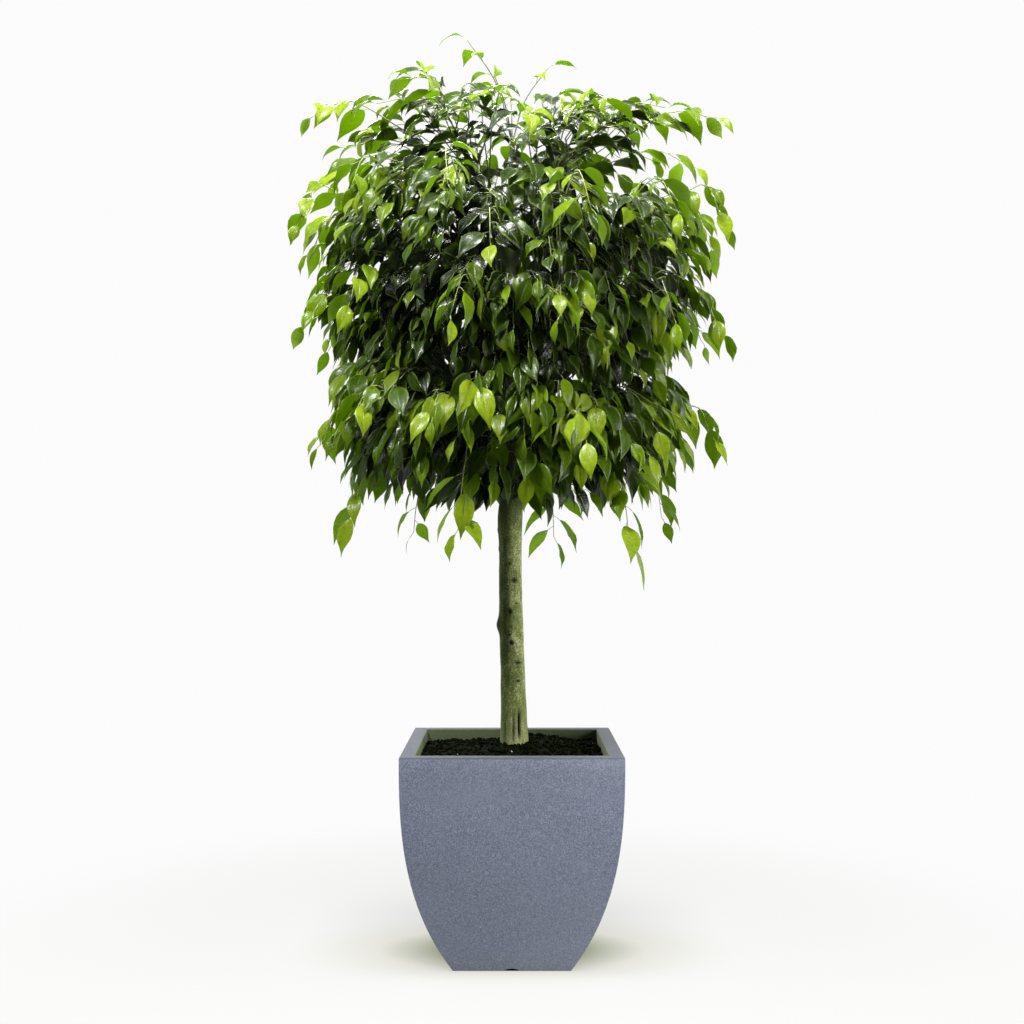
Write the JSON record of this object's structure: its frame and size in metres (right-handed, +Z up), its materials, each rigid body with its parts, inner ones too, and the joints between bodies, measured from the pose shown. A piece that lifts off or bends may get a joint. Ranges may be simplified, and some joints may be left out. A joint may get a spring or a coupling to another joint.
{
  "type": "potted weeping fig",
  "caption": "Weeping fig grown as a standard tree, with a bare trunk and a dense drooping head, in a square tapered planter filled with soil.",
  "frame": {"origin": "middle of the planter's flat underside, on the surface that it stands on", "axes": "+Z up along the trunk, X and Y across the planter's four sides; the side seen in the picture faces -Y"},
  "size_m": [0.9343, 0.9158, 1.963],
  "materials": {
    "planter": "matte",
    "soil": "matte",
    "bark": "matte",
    "leaf": "satin"
  },
  "bodies": {
    "root": {"planter": "planter", "soil": "soil", "trunk": "bark", "skirt_bough_1": "leaf", "skirt_bough_2": "leaf", "skirt_bough_3": "leaf", "skirt_bough_4": "leaf", "skirt_bough_5": "leaf", "skirt_bough_6": "leaf", "middle_bough_1": "leaf", "middle_bough_2": "leaf", "middle_bough_3": "leaf", "middle_bough_4": "leaf", "middle_bough_5": "leaf", "middle_bough_6": "leaf", "shoulder_bough_1": "leaf", "shoulder_bough_2": "leaf", "shoulder_bough_3": "leaf", "shoulder_bough_4": "leaf", "shoulder_bough_5": "leaf", "shoulder_bough_6": "leaf", "upper_bough_1": "leaf", "upper_bough_2": "leaf", "upper_bough_3": "leaf", "upper_bough_4": "leaf", "crown": "leaf"}
  },
  "joints": []
}
